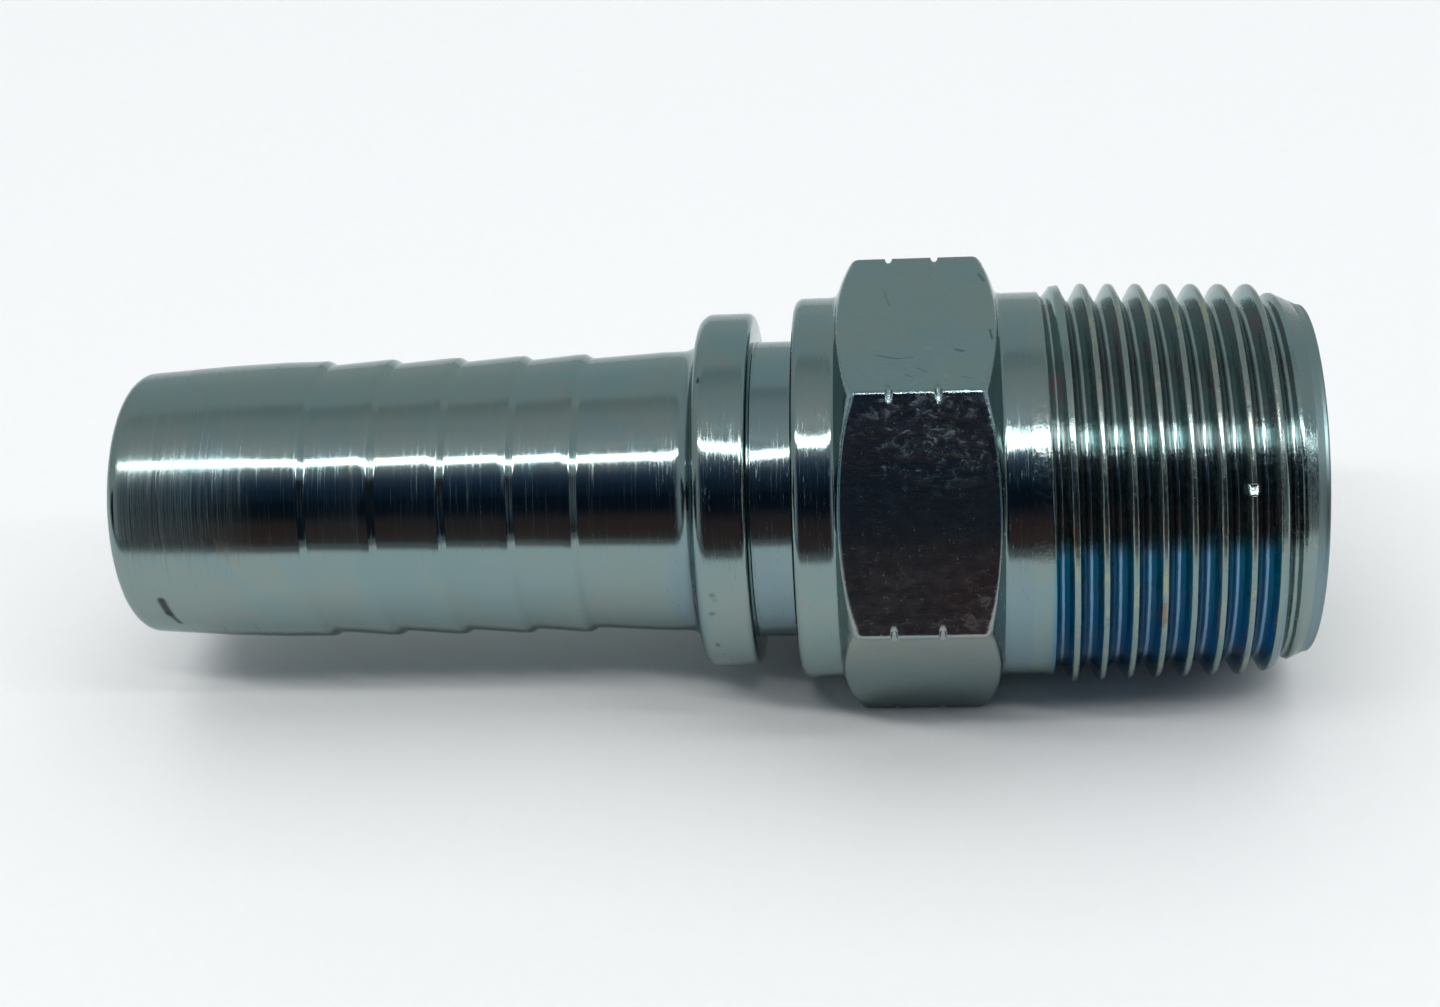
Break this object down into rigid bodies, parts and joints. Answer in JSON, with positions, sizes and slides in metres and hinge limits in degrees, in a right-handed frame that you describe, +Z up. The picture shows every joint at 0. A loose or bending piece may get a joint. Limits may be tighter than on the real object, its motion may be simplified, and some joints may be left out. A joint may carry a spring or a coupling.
{
  "type": "crimp hose tail with taper pipe thread",
  "caption": "Straight steel hose tail: barbed stem with a locking collar and ferrule groove, hexagon, and a male taper pipe thread, with one straight through bore.",
  "frame": {"origin": "on the bore axis, at the plane of the thread's end face", "axes": "+X along the bore, out of the threaded end; the tail runs to -X; +Z up, with one hexagon flat facing straight down and one straight up"},
  "size_m": [0.0793, 0.0308, 0.0268],
  "materials": {
    "zinc_plated_steel": "turned steel with clear passivated bright zinc plate, satin to bright"
  },
  "bodies": {
    "root": {"hose_tail_body": "zinc_plated_steel"}
  },
  "joints": []
}
